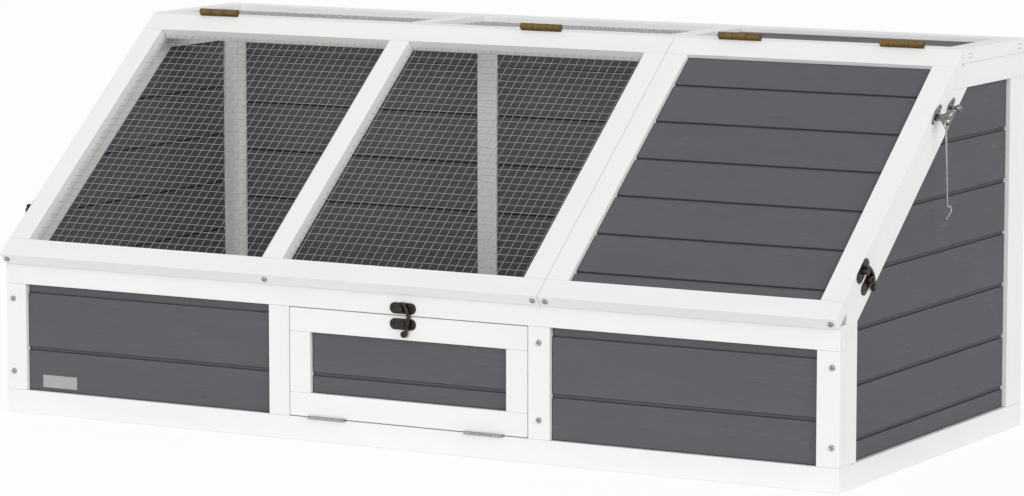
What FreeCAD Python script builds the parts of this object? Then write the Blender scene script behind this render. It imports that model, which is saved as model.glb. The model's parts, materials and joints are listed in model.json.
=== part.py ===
"""Outdoor tortoise enclosure: a boarded timber house with two sloping lids and a drop-down door.

The frame is +X to the right, +Y to the back and +Z up, with the origin on the ground under the
middle of the floor. Every wall, lid and door is drawn flat, with X along it, Y up it and Z out of
its face, and is then turned into its place.
"""
import FreeCAD, Part
import math
import os
import re

import Sketcher

doc = FreeCAD.newDocument("tortoise_enclosure")

# Driving sizes, in millimetres and degrees
SIZES = {
    # House
    "overall_length": 1200,
    "overall_depth": 550,
    "overall_height": 500,
    "front_height": 200,
    "roof_depth": 200,
    "bar_width": 30,
    "bar_thick": 18,
    "left_bay": 375,
    "door_bay": 345,
    "floor_thick": 9,
    "floor_play": 0.5,
    # Tongued boards and the grooves that hold them
    "board_thick": 8,
    "board_recess": 6,
    "groove_depth": 8,
    "groove_play": 0.25,
    "tongue_show": 5,
    "tongue_depth": 5,
    "tongue_thick": 2.6,
    "joint_gap": 0.4,
    "joint_back": 2,
    "wall_pitch": 66.6,
    "side_first_joint": 52.8,
    "back_first_joint": 95.5,
    "front_joint": 82.5,
    "front_rebate": 158,
    "lid_first_joint": 48,
    "roof_first_joint": 66,
    # Lids and roof
    "lid_thick": 17,
    "lid_overhang": 15,
    "lid_gap": 1.5,
    "crease_gap": 1.2,
    "mesh_lid_width": 800,
    "mesh_bay_width": 360,
    "net_pitch": 12.2,
    "net_wire": 0.7,
    "lid_net_depth": 9.6,
    "roof_net_depth": 7,
    # Door
    "door_gap": 1,
    "sill_gap": 1.2,
    # Partition doorway
    "doorway_start": 200,
    "doorway_width": 180,
    "doorway_height": 170,
    # Hinges
    "lid_hinge_length": 59.5,
    "lid_hinge_barrel": 8.4,
    "lid_hinge_leaf": 14,
    "door_hinge_length": 55,
    "door_hinge_barrel": 4.2,
    "door_hinge_leaf": 13,
    "leaf_thick": 0.5,
    "hinge_pin": 2.6,
    "pin_play": 0.05,
    "knuckle_gap": 0.3,
    "barrel_lift": 0.3,
    "mesh_hinge_left": 107,
    "mesh_hinge_right": 195,
    "shelter_hinge_left": 93,
    "shelter_hinge_right": 82,
    "door_hinge_left": 56,
    "door_hinge_right": 62,
    # Horn latches
    "latch_length": 37,
    "latch_width": 14,
    "latch_thick": 1.6,
    "latch_step": 20,
    "latch_play": 0.4,
    "latch_pin": 3.6,
    "latch_pin_x": 3.6,
    "latch_pin_rise": 1,
    "latch_cap": 6,
    "latch_cap_thick": 1.2,
    "latch_stud": 8.4,
    "latch_stud_x": -0.4,
    "latch_stud_height": 8.6,
    "horn_thick": 5.4,
    "horn_chamfer": 0.8,
    "horn_bow": 30,
    "horn_width": 3.8,
    "horn_hook": 6.6,
    "horn_join_angle": 35,
    "horn_bow_angle": 73,
    "horn_hook_angle": 48,
    "horn_eye": 11,
    "horn_thumb": 8.6,
    "door_latch_shift": 5,
    "door_latch_height": 179,
    "lid_latch_edge": 89.3,
    # Lid stay
    "stay_plate_length": 32,
    "stay_plate_width": 13,
    "stay_plate_thick": 1.5,
    "stay_run": 108,
    "lug_offset": 4.5,
    "lug_reach": 23,
    "lug_root": 11,
    "lug_neck": 9,
    "lug_head": 8,
    "lug_length": 25.6,
    "lug_thick": 1.5,
    "lug_slot": 8.4,
    "lug_slot_width": 3.4,
    "lug_bridge": 2,
    "hook_wire": 2.2,
    "hook_ring": 7.8,
    "hook_hang": 1.1,
    "hook_length": 99,
    "hook_lean": 6,
    "hook_bend_x": 7.3,
    "hook_bend_drop": 5.2,
    "hook_bend": 8.5,
    "hook_bend_start": -61,
    "hook_bend_span": 202,
    "hook_tail": 16,
    "stud_run": 73,
    "stud_drop": 30,
    "stud_neck": 5,
    "stud_reach": 12,
    "stud_ball": 9.5,
    # Screws
    "screw_head": 8.6,
    "screw_head_height": 2.2,
    "screw_shank": 3.5,
    "screw_length": 14,
    "screw_edge": 10,
    "screw_low": 54,
    "screw_high": 150,
    "lid_screw_edge": 8,
}

# Sizes that follow from the driving ones; the lid's underside touches the front wall's top edge
WORKED = {
    "half_length": "overall_length / 2",
    "half_depth": "overall_depth / 2",
    "right_bay": "overall_length - 4 * bar_width - left_bay - door_bay",
    "door_left": "-half_length + 2 * bar_width + left_bay",
    "door_right": "door_left + door_bay",
    "door_latch_x": "(door_left + door_right) / 2 - door_latch_shift",
    "roof_front": "overall_depth - roof_depth",
    "rise": "overall_height - front_height",
    "slope": "acos(lid_thick / sqrt(rise ^ 2 + roof_front ^ 2)) - atan(roof_front / rise)",
    "lid_run": "(roof_front + lid_overhang) / cos(slope)",
    "lid_top": "-crease_gap / cos(slope)",
    "lid_split": "-half_length + mesh_lid_width",
    "wall_top": "overall_height - bar_thick",
    "wall_end": "overall_depth - bar_thick",
    "partition_x": "door_right + bar_width / 2",
    "door_low": "bar_width + sill_gap",
    "door_high": "front_height - bar_width - door_gap",
    "tongue_front": "-board_recess - (board_thick - tongue_thick) / 2",
    "tongue_back": "tongue_front - tongue_thick",
    "board_edge": "(board_thick + tongue_thick) / 2",
    "horn_base": "latch_thick + latch_play",
    "horn_top": "horn_base + horn_thick",
    "bow_x": "latch_stud_x - (horn_bow - horn_hook) * cos(horn_join_angle * 1 deg)",
    "bow_y": "-(horn_bow - horn_hook) * sin(horn_join_angle * 1 deg)",
    "bow_start": "horn_join_angle - horn_bow_angle",
    "stay_slot_out": "lug_reach - lug_head / 2",
    "stay_s": "-stay_run - lug_offset - lug_length / 2 + lug_bridge / 2",
    "stay_y": "roof_front - half_depth + stay_s * cos(slope) + lid_thick / 2 * sin(slope)",
    "stay_z": "overall_height + stay_s * sin(slope) - lid_thick / 2 * cos(slope) - hook_hang",
    "lid_axis_y": "roof_front - half_depth - crease_gap / 2",
    "lid_axis_z": "overall_height + lid_hinge_barrel / 2 + barrel_lift",
    "door_axis_y": "-half_depth - door_hinge_barrel / 2 - barrel_lift",
    "door_axis_z": "bar_width + sill_gap / 2",
}


def formula(text):
    """Write a size's text as an expression on the two sheets."""
    def cell(match):
        word = match.group(0)
        if word in SIZES:
            return "Sizes." + word
        return "Worked." + word if word in WORKED else word
    return re.sub(r"[A-Za-z_]\w*", cell, str(text))


def fill_sheet(name, rows, as_text):
    sheet = doc.addObject("Spreadsheet::Sheet", name)
    for row, (alias, content) in enumerate(rows.items(), start=1):
        sheet.set(f"A{row}", alias)
        sheet.set(f"B{row}", as_text(content))
        sheet.setAlias(f"B{row}", alias)
    return sheet


sizes_sheet = fill_sheet("Sizes", SIZES, str)
worked_sheet = fill_sheet("Worked", WORKED, lambda text: "=" + formula(text))
doc.recompute()


def value(text):
    """The number that a size's text stands for."""
    result = worked_sheet.evalExpression(formula(text))
    return float(getattr(result, "Value", result))


def bind(obj, **sizes):
    """Bind properties to sizes; x, y and z are the object's place."""
    for name, text in sizes.items():
        path = "Placement.Base." + name if name in "xyz" else name
        obj.setExpression(path, formula(text))
    return obj


ALONG_X = FreeCAD.Rotation(FreeCAD.Vector(0, 1, 0), 90)
SECTION = FreeCAD.Rotation(FreeCAD.Vector(1, 1, 1), 120)


def block(name, x, y, length, width, z="-bar_thick", height="bar_thick"):
    box = doc.addObject("Part::Box", name)
    return bind(box, Length=length, Width=width, Height=height, x=x, y=y, z=z)


def peg(name, x, y, z, height, diameter):
    """A round bar along Z."""
    bar = doc.addObject("Part::Cylinder", name)
    return bind(bar, Radius=f"({diameter}) / 2", Height=height, x=x, y=y, z=z)


def rod(name, x, y, z, length, diameter):
    """A round bar along X."""
    bar = peg(name, x, y, z, length, diameter)
    bar.Placement.Rotation = ALONG_X
    return bar


def ball(name, x, y, z, diameter):
    sphere = doc.addObject("Part::Sphere", name)
    return bind(sphere, Radius=f"({diameter}) / 2", x=x, y=y, z=z)


def outline(name, points):
    """A closed sketch through points whose coordinates are bound to the sheets."""
    sketch = doc.addObject("Sketcher::SketchObject", name)
    corners = [FreeCAD.Vector(value(x), value(y), 0) for x, y in points]
    for start, end in zip(corners, corners[1:] + corners[:1]):
        sketch.addGeometry(Part.LineSegment(start, end), False)
    count = len(points)
    for index, (x, y) in enumerate(points):
        sketch.addConstraint(Sketcher.Constraint("Coincident", index, 2, (index + 1) % count, 1))
        for kind, axis, text in (("DistanceX", -2, x), ("DistanceY", -1, y)):
            if text == "0":
                sketch.addConstraint(Sketcher.Constraint("PointOnObject", index, 1, axis))
                continue
            size = Sketcher.Constraint(kind, -1, 1, index, 1, value(text))
            sketch.setExpression(f"Constraints[{sketch.addConstraint(size)}]", formula(text))
    return sketch


def slab(name, points, z="-bar_thick", height="bar_thick"):
    """A flat plate with the given outline."""
    sketch = bind(outline(name + "_outline", points), z=z)
    plate = doc.addObject("Part::Extrusion", name)
    plate.Base = sketch
    plate.DirMode = "Custom"
    plate.Dir = FreeCAD.Vector(0, 0, 1)
    plate.Solid = True
    return bind(plate, LengthFwd=height)


def group(name, pieces):
    compound = doc.addObject("Part::Compound", name)
    compound.Links = pieces
    return compound


def fuse(name, pieces):
    union = doc.addObject("Part::MultiFuse", name)
    union.Shapes = pieces
    union.Refine = True
    return union


def cut(name, piece, tools):
    difference = doc.addObject("Part::Cut", name)
    difference.Base = piece
    difference.Tool = tools[0] if len(tools) == 1 else group(name + "_tools", tools)
    return difference


def copy(name, source, x="0", y="0", z="0"):
    link = doc.addObject("App::Link", name)
    link.LinkedObject = source
    link.LinkTransform = True
    return bind(link, x=x, y=y, z=z)


def turned(name, section, x, y, start="0", span="360"):
    """A section, drawn as radius and height, turned round Z from an angle and over a span."""
    section.Placement.Rotation = FreeCAD.Rotation(FreeCAD.Vector(1, 0, 0), 90)
    solid = doc.addObject("Part::Revolution", name + "_turned")
    solid.Source = section
    solid.Axis = FreeCAD.Vector(0, 0, 1)
    solid.Solid = True
    bind(solid, Angle=span)
    placed = copy(name, solid, x, y)
    placed.Placement.Rotation = FreeCAD.Rotation(FreeCAD.Vector(0, 0, 1), value(start))
    return placed


def ring(name, x, y, diameter, wire, start="0", span="360"):
    """A round wire bent round Z, from an angle and over a span."""
    section = bind(doc.addObject("Part::Circle", name + "_section"), Radius=f"({wire}) / 2",
                   x=f"({diameter}) / 2")
    return turned(name, section, x, y, start, span)


# Where each flat panel stands: turning axis, angle and place
FRAMES = {
    "world": ((0, 0, 1), "0", ("0", "0", "0")),
    "front": ((1, 0, 0), "90", ("0", "-half_depth", "0")),
    "back": ((0, 1, 1), "180", ("0", "half_depth", "0")),
    "right": ((1, 1, 1), "120", ("half_length", "-half_depth", "0")),
    "partition": ((1, 1, 1), "120", ("partition_x + bar_thick / 2", "-half_depth", "0")),
    "roof": ((0, 0, 1), "0", ("0", "roof_front - half_depth", "overall_height")),
    "lid": ((1, 0, 0), "slope", ("0", "roof_front - half_depth", "overall_height")),
    "lid_axis": ((0, 0, 1), "0", ("0", "lid_axis_y", "lid_axis_z")),
    "door_axis": ((1, 0, 0), "90", ("0", "door_axis_y", "door_axis_z")),
    "stay_hook": ((1, 1, 1), "120", ("half_length + stay_slot_out", "stay_y", "stay_z")),
}

nodes = []


def node(label, frame, pieces):
    """One named sub-part, turned from flat into its place in the house."""
    axis, angle, (x, y, z) = FRAMES[frame]
    part = group("node_" + label, pieces)
    part.Placement.Rotation = FreeCAD.Rotation(FreeCAD.Vector(*axis), value(angle))
    if angle == "slope":
        part.setExpression("Placement.Rotation.Angle", formula(angle))
    bind(part, x=x, y=y, z=z)
    part.Label = label
    nodes.append(part)
    return part


def mirrored(label, source):
    """The left-hand twin of a right-hand sub-part."""
    part = doc.addObject("Part::Mirroring", "node_" + label)
    part.Source = source
    part.Normal = FreeCAD.Vector(1, 0, 0)
    part.Label = label
    nodes.append(part)
    return part


# Tongued joint between two boards, as the gap to cut from a plain panel: the upper board's tongue
# shows below it for a strip, then enters the lower board's groove
board_joint = doc.addObject("Part::Extrusion", "board_joint")
board_joint.Base = outline("board_joint_section", [
    ("0", "board_thick"),
    ("tongue_show", "board_thick"),
    ("tongue_show", "tongue_front"),
    ("-tongue_depth", "tongue_front"),
    ("-tongue_depth", "tongue_back"),
    ("joint_back", "tongue_back"),
    ("joint_back", "-board_recess - 2 * board_thick"),
    ("0", "-board_recess - 2 * board_thick"),
    ("0", "tongue_back - joint_gap"),
    ("-tongue_depth - joint_gap", "tongue_back - joint_gap"),
    ("-tongue_depth - joint_gap", "tongue_front + joint_gap"),
    ("0", "tongue_front + joint_gap"),
])
board_joint.Base.Placement.Rotation = SECTION
bind(board_joint.Base, x="-overall_length - overall_depth")
board_joint.DirMode = "Custom"
board_joint.Dir = FreeCAD.Vector(1, 0, 0)
board_joint.Solid = True
bind(board_joint, LengthFwd="2 * (overall_length + overall_depth)")


def rectangle(x, y, length, width, grow):
    left, right = f"{x} - ({grow})", f"{x} + {length} + {grow}"
    low, high = f"{y} - ({grow})", f"{y} + {width} + {grow}"
    return [(left, low), (right, low), (right, high), (left, high)]


def boarding(name, shape, low, high, joints, extra=()):
    """Tongued boards that fill an opening, and the groove that their frame needs.

    The boards' ends are rebated, so that only their back enters the groove and their face butts
    against the frame. shape gives the opening's outline, grown by a size. joints are the first
    joint's height and the pitch of the rest, which is None for a single joint.
    """
    back = "-board_recess - board_thick"
    groove = slab(name + "_groove", shape("groove_depth + groove_play"), f"{back} - groove_play",
                  "board_edge + 2 * groove_play")
    panel = fuse(name + "_panel", [
        slab(name + "_back", shape("groove_depth"), back, "board_edge"),
        slab(name + "_face", shape("-groove_play"), "tongue_front", "board_thick - board_edge")])
    first, pitch = joints
    heights = [first]
    if pitch:
        rows = math.ceil((value(high) - value(first)) / value(pitch))
        heights = [f"{first} + {row} * {pitch}" for row in range(rows)]
        heights = [height for height in heights if value(height) > value(low)]
    gaps = [copy(f"{name}_joint_{row}", board_joint, y=height) for row, height in enumerate(heights)]
    return groove, cut(name + "_boarding", panel, gaps + list(extra))


def net(name, x, y, length, width, depth):
    """Welded wire mesh let into its frame: wires along the panel lie on wires up it."""
    grip = "(groove_depth - 2 * groove_play)"
    left, low = f"({x} - {grip})", f"({y} - {grip})"
    across, up = f"({length} + 2 * {grip})", f"({width} + 2 * {grip})"
    wires = []
    for axis, start, span in (("x", left, across), ("y", low, up)):
        gaps = int(value(span) / value("net_pitch"))
        first = f"{start} + ({span} - {gaps} * net_pitch - net_wire) / 2"
        if axis == "x":
            wire = block(f"{name}_up", first, low, "net_wire", up, f"-({depth}) - 2 * net_wire", "net_wire")
        else:
            wire = block(f"{name}_along", left, first, across, "net_wire", f"-({depth}) - net_wire",
                         "net_wire")
        wires.append(wire)
        wires += [copy(f"{wire.Name}_{row}", wire, **{axis: f"{row} * net_pitch"})
                  for row in range(1, gaps + 1)]
    groove = slab(name + "_groove", rectangle(x, y, length, width, "groove_depth"),
                  f"-({depth}) - 2 * net_wire - groove_play", "2 * (net_wire + groove_play)")
    return groove, wires


# Front wall: two boarded bays with the door bay between them
bay_low, bay_high = "bar_width", "front_height - bar_width"
bay_height = "(front_height - 2 * bar_width)"
left_x, right_x = "(-half_length + bar_width)", "(door_right + bar_width)"
rebate = block("front_rebate", "-overall_length", "front_rebate", "2 * overall_length", "front_height",
               "tongue_front", "overall_depth")
left_groove, left_boards = boarding(
    "front_left", lambda grow: rectangle(left_x, bay_low, "left_bay", bay_height, grow),
    bay_low, bay_high, ("front_joint", None), [rebate])
right_groove, right_boards = boarding(
    "front_right", lambda grow: rectangle(right_x, bay_low, "right_bay", bay_height, grow),
    bay_low, bay_high, ("front_joint", None), [rebate])
node("front_left_boards", "front", [left_boards])
node("front_right_boards", "front", [right_boards])
for label, height in (("front_base_rail", "0"), ("front_top_rail", bay_high)):
    rail = block(label + "_bar", "-half_length", height, "overall_length", "bar_width")
    node(label, "front", [cut(label + "_grooved", rail, [left_groove, right_groove])])
for label, x, groove in (
        ("front_left_post", "-half_length", left_groove),
        ("door_left_post", "door_left - bar_width", left_groove),
        ("door_right_post", "door_right", right_groove),
        ("front_right_post", "half_length - bar_width", right_groove)):
    post = block(label + "_bar", x, bay_low, "bar_width", bay_height)
    node(label, "front", [cut(label + "_grooved", post, [groove])])


# Side walls: five bars round one boarded panel; the sloped bar carries the lid
def edge(y, drop="0"):
    """Height of the sloped bar's upper edge, or of a line below it, at a distance from the front."""
    return f"(front_height + ({y}) * tan(slope) - ({drop}) / cos(slope))"


def edge_run(height, drop="0"):
    """Distance from the front at which that line reaches a height."""
    return f"((({height}) - front_height + ({drop}) / cos(slope)) / tan(slope))"


inner_front, inner_end = "(bar_thick + bar_width)", "(wall_end - bar_width)"
inner_top = "(wall_top - bar_width)"


def side_opening(floor):
    def shape(grow):
        front, end = f"{inner_front} - ({grow})", f"{inner_end} + {grow}"
        low, high = f"{floor} - ({grow})", f"{inner_top} + {grow}"
        drop = f"bar_width - ({grow})"
        return [(front, low), (end, low), (end, high), (edge_run(high, drop), high),
                (front, edge(front, drop))]
    return shape


def side_bars(name, low):
    """The front stile, rear stile, sloped bar and top bar of a wall with a sloping top."""
    front = slab(name + "_front_bar", [
        ("bar_thick", low), (inner_front, low),
        (inner_front, edge(inner_front, "bar_width")), ("bar_thick", edge("bar_thick", "bar_width"))])
    rear = block(name + "_rear_bar", inner_end, low, "bar_width", f"{inner_top} - ({low})")
    sloped = slab(name + "_sloped_bar", [
        ("bar_thick", edge("bar_thick", "bar_width")), (edge_run(inner_top, "bar_width"), inner_top),
        (edge_run(inner_top), inner_top), ("bar_thick", edge("bar_thick"))])
    top = slab(name + "_top_bar", [
        (edge_run(inner_top), inner_top), ("wall_end", inner_top),
        ("wall_end", "wall_top"), (edge_run("wall_top"), "wall_top")])
    return front, rear, sloped, top


side_groove, side_boards = boarding("side", side_opening("bar_width"), "bar_width", inner_top,
                                    ("side_first_joint", "wall_pitch"))
base = block("side_base_bar", "bar_thick", "0", "wall_end - bar_thick", "bar_width")
front, rear, sloped, top = [cut(f"side_grooved_{index}", bar, [side_groove])
                            for index, bar in enumerate(side_bars("side", "bar_width"))]
base = cut("side_grooved_base", base, [side_groove])
for label, pieces in (("side_boards", [side_boards]), ("side_rails", [base, top]),
                      ("side_stiles", [front, rear]), ("sloped_rail", [sloped])):
    mirrored("left_" + label, node("right_" + label, "right", pieces))

# Back wall: three boarded bays; seen from behind, the bays stand in the opposite order
back_bays = (("right", "half_length - bar_width - left_bay", "left_bay"),
             ("middle", "-door_right", "door_bay"),
             ("left", "-half_length + bar_width", "right_bay"))
back_height = "(wall_top - 2 * bar_width)"
back_grooves, back_boards = [], []
for name, x, length in back_bays:
    groove, boards = boarding(
        "back_" + name, lambda grow: rectangle(f"({x})", "bar_width", length, back_height, grow),
        "bar_width", inner_top, ("back_first_joint", "wall_pitch"))
    back_grooves.append(groove)
    back_boards.append(boards)
node("back_boards", "back", back_boards)
for label, height in (("back_base_rail", "0"), ("back_top_rail", inner_top)):
    rail = block(label + "_bar", "-half_length", height, "overall_length", "bar_width")
    node(label, "back", [cut(label + "_grooved", rail, back_grooves)])
back_posts = []
for name, x in (("end", "half_length - bar_width"), ("second", "-door_left"),
                ("third", "-door_right - bar_width"), ("first", "-half_length")):
    post = block(f"back_{name}_bar", x, "bar_width", "bar_width", back_height)
    back_posts.append(cut(f"back_{name}_grooved", post, back_grooves))
node("back_posts", "back", back_posts)

# Roof frame: end rails run from front to back, with two meshed sections and one boarded section
roof_y, roof_width = "bar_width", "(roof_depth - 2 * bar_width)"
cross_x = "(-half_length + bar_width + mesh_bay_width)"
left_net_groove, left_net = net("roof_left_net", left_x, roof_y, "mesh_bay_width", roof_width,
                                "roof_net_depth")
middle_net_groove, middle_net = net(
    "roof_middle_net", f"({cross_x} + bar_width)", roof_y, f"(door_right - {cross_x} - bar_width)",
    roof_width, "roof_net_depth")
roof_groove, roof_boards = boarding(
    "roof", lambda grow: rectangle(right_x, roof_y, "right_bay", roof_width, grow),
    roof_y, "(roof_depth - bar_width)", ("roof_first_joint", "wall_pitch"))
roof_grooves = [left_net_groove, middle_net_groove, roof_groove]
node("roof_mesh", "roof", left_net + middle_net)
node("roof_boards", "roof", [roof_boards])
for label, places in (
        ("roof_rails", (("-half_length + bar_width", "0"),
                        ("-half_length + bar_width", "roof_depth - bar_width"))),
        ("roof_end_rails", (("-half_length", None), ("half_length - bar_width", None))),
        ("roof_cross_bars", ((cross_x, roof_y), ("door_right", roof_y)))):
    bars = []
    for x, y in places:
        if label == "roof_rails":
            size = ("overall_length - 2 * bar_width", "bar_width")
        else:
            size = ("bar_width", roof_width if y else "roof_depth")
        bar = block(f"{label}_bar_{len(bars)}", x, y or "0", *size)
        bars.append(cut(f"{label}_grooved_{len(bars)}", bar, roof_grooves))
    node(label, "roof", bars)

# Floor: one panel on the ground inside the base rails
node("floor_panel", "world", [block(
    "floor_sheet", "-half_length + bar_thick + floor_play", "-half_depth + bar_thick + floor_play",
    "overall_length - 2 * (bar_thick + floor_play)", "overall_depth - 2 * (bar_thick + floor_play)",
    "0", "floor_thick")])

# Partition between the run and the shelter, with an arched doorway cut through its boards
doorway = fuse("doorway", [
    block("doorway_sides", "doorway_start", "0", "doorway_width", "doorway_height - doorway_width / 2",
          "-overall_depth", "2 * overall_depth"),
    peg("doorway_arch", "doorway_start + doorway_width / 2", "doorway_height - doorway_width / 2",
        "-overall_depth", "2 * overall_depth", "doorway_width")])
partition_groove, partition_boards = boarding(
    "partition", side_opening("(floor_thick + floor_play + groove_depth)"), "bar_width", inner_top,
    ("side_first_joint", "wall_pitch"), [doorway])
front, rear, sloped, top = [
    cut(f"partition_grooved_{index}", bar, [partition_groove])
    for index, bar in enumerate(side_bars("partition", "floor_thick"))]
node("partition_boards", "partition", [partition_boards])
node("partition_stiles", "partition", [front, rear])
node("partition_rails", "partition", [sloped, top])


# Lids: rails across the full width, stiles between them; the upper end is cut plumb at the crease
def lid_bars(name, left, right, stiles, grooves):
    plumb = "lid_thick * tan(slope)"
    lower = block(name + "_lower_bar", left, "-lid_run", f"{right} - ({left})", "bar_width",
                  "-lid_thick", "lid_thick")
    section = outline(name + "_upper_section", [
        ("lid_top - bar_width", "0"), ("lid_top - bar_width", "-lid_thick"),
        (f"lid_top - {plumb}", "-lid_thick"), ("lid_top", "0")])
    section.Placement.Rotation = SECTION
    bind(section, x=left)
    upper = doc.addObject("Part::Extrusion", name + "_upper_bar")
    upper.Base = section
    upper.DirMode = "Custom"
    upper.Dir = FreeCAD.Vector(1, 0, 0)
    upper.Solid = True
    bind(upper, LengthFwd=f"{right} - ({left})")
    rails = [cut(f"{name}_{bar.Name}_grooved", bar, grooves) for bar in (lower, upper)]
    node(name + "_rails", "lid", rails)
    bars = [block(f"{name}_stile_{index}", x, lid_low, "bar_width", lid_opening, "-lid_thick", "lid_thick")
            for index, x in enumerate(stiles)]
    node(name + "_stiles", "lid", [cut(bar.Name + "_grooved", bar, grooves) for bar in bars])


lid_low, lid_high = "(-lid_run + bar_width)", "(lid_top - bar_width)"
lid_opening = f"({lid_high} - {lid_low})"
mesh_right, shelter_left = "(lid_split - lid_gap / 2)", "(lid_split + lid_gap / 2)"
second_bay = f"({mesh_right} - bar_width - ({cross_x} + bar_width))"
first_groove, first_net = net("lid_first_net", left_x, lid_low, "mesh_bay_width", lid_opening,
                              "lid_net_depth")
second_groove, second_net = net("lid_second_net", f"({cross_x} + bar_width)", lid_low, second_bay,
                                lid_opening, "lid_net_depth")
node("mesh_lid_mesh", "lid", first_net + second_net)
lid_bars("mesh_lid", "-half_length", mesh_right,
         ["-half_length", cross_x, f"{mesh_right} - bar_width"], [first_groove, second_groove])
shelter_width = f"(half_length - {shelter_left} - 2 * bar_width)"
shelter_groove, shelter_boards = boarding(
    "shelter_lid",
    lambda grow: rectangle(f"({shelter_left} + bar_width)", lid_low, shelter_width, lid_opening, grow),
    lid_low, lid_high, ("-lid_run + lid_first_joint", "wall_pitch"))
node("shelter_lid_boards", "lid", [shelter_boards])
lid_bars("shelter_lid", shelter_left, "half_length",
         [shelter_left, "half_length - bar_width"], [shelter_groove])

# Door: a boarded frame that drops forward on the sill; its rails run across the full width
door_x, door_width = "(door_left + door_gap)", "(door_bay - 2 * door_gap)"
door_groove, door_boards = boarding(
    "door", lambda grow: rectangle(f"({door_x} + bar_width)", "(door_low + bar_width)",
                                   f"({door_width} - 2 * bar_width)",
                                   "(door_high - door_low - 2 * bar_width)", grow),
    "door_low", "door_high", ("front_joint", None))
node("door_boards", "front", [door_boards])
rails = [block(f"door_rail_{index}", door_x, y, door_width, "bar_width")
         for index, y in enumerate(("door_low", "door_high - bar_width"))]
node("door_rails", "front", [cut(bar.Name + "_grooved", bar, [door_groove]) for bar in rails])
stiles = [block(f"door_stile_{index}", x, "door_low + bar_width", "bar_width",
                "door_high - door_low - 2 * bar_width")
          for index, x in enumerate((door_x, "door_right - door_gap - bar_width"))]
node("door_stiles", "front", [cut(bar.Name + "_grooved", bar, [door_groove]) for bar in stiles])


# Butt hinges, drawn with the pin on X and both leaves hanging below it, face to face in the gap
# between the two timbers; the outer leaf has two knuckles and the inner leaf one
def hinge_leaf(name, kind, gap, outer):
    length, barrel, leaf = (f"{kind}_hinge_{size}" for size in ("length", "barrel", "leaf"))
    side = f"{gap} / 2 - leaf_thick" if outer else f"-{gap} / 2"
    plate_top = f"-{barrel} / 2 - barrel_lift / 2"
    pieces = [block(name + "_plate", f"-{length} / 2", side, length, "leaf_thick",
                    f"-{barrel} / 2 - barrel_lift - {leaf}", f"{leaf} + barrel_lift / 2")]
    for index in (0, 2) if outer else (1,):
        start = f"-{length} / 2 + {index} * {length} / 3 + knuckle_gap / 2"
        span = f"{length} / 3 - knuckle_gap"
        pieces.append(rod(f"{name}_knuckle_{index}", start, "0", "0", span, barrel))
        pieces.append(block(f"{name}_neck_{index}", start, side, span, "leaf_thick", plate_top,
                            f"{barrel} / 4 + barrel_lift / 2"))
    bore = rod(name + "_bore", f"-{length}", "0", "0", f"2 * {length}", "hinge_pin + 2 * pin_play")
    return cut(name, fuse(name + "_leaf", pieces), [bore])


def hinges(source, label, frame, places):
    node(label, frame, [copy(f"{label}_{index}", source, x=x) for index, x in enumerate(places)])


mesh_hinges = ("-half_length + mesh_hinge_left", "lid_split - mesh_hinge_right")
shelter_hinges = ("lid_split + shelter_hinge_left", "half_length - shelter_hinge_right")
door_hinges = ("door_left + door_hinge_left", "door_right - door_hinge_right")
roof_leaf = hinge_leaf("roof_leaf", "lid", "crease_gap", True)
lid_leaf = hinge_leaf("lid_leaf", "lid", "crease_gap", False)
lid_pin = rod("lid_pin", "-lid_hinge_length / 2", "0", "0", "lid_hinge_length", "hinge_pin")
hinges(roof_leaf, "lid_hinge_roof_leaves", "lid_axis", mesh_hinges + shelter_hinges)
hinges(lid_pin, "lid_hinge_pins", "lid_axis", mesh_hinges + shelter_hinges)
hinges(lid_leaf, "mesh_lid_hinge_leaves", "lid_axis", mesh_hinges)
hinges(lid_leaf, "shelter_lid_hinge_leaves", "lid_axis", shelter_hinges)
door_leaf = hinge_leaf("door_leaf", "door", "sill_gap", True)
sill_leaf = hinge_leaf("sill_leaf", "door", "sill_gap", False)
door_pin = rod("door_pin", "-door_hinge_length / 2", "0", "0", "door_hinge_length", "hinge_pin")
hinges(door_leaf, "door_hinge_leaves", "door_axis", door_hinges)
hinges(sill_leaf, "sill_hinge_leaves", "door_axis", door_hinges)
hinges(door_pin, "door_hinge_pins", "door_axis", door_hinges)


# Horn latch, drawn round its stud: the upper plate has the stud, and the lower plate has a headed
# pin on which a bowed flat horn swings, with a round thumb end and a tip that hooks over the stud
def stadium(name, y):
    straight = "(latch_length - latch_width)"
    return [block(name + "_middle", f"-{straight} / 2", f"{y} - latch_width / 2", straight, "latch_width",
                  "0", "latch_thick"),
            peg(name + "_left", f"-{straight} / 2", y, "0", "latch_thick", "latch_width"),
            peg(name + "_right", f"{straight} / 2", y, "0", "latch_thick", "latch_width")]


def flat_bar(name, inner, outer):
    """The section of the flat horn between two radii, with its corners taken off."""
    corners = [(f"{outer} - horn_chamfer", "horn_base"), (outer, "horn_base + horn_chamfer"),
               (outer, "horn_top - horn_chamfer"), (f"{outer} - horn_chamfer", "horn_top")]
    if inner == "0":
        return outline(name, [("0", "horn_base")] + corners + [("0", "horn_top")])
    return outline(name, corners + [
        (f"{inner} + horn_chamfer", "horn_top"), (inner, "horn_top - horn_chamfer"),
        (inner, "horn_base + horn_chamfer"), (f"{inner} + horn_chamfer", "horn_base")])


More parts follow.
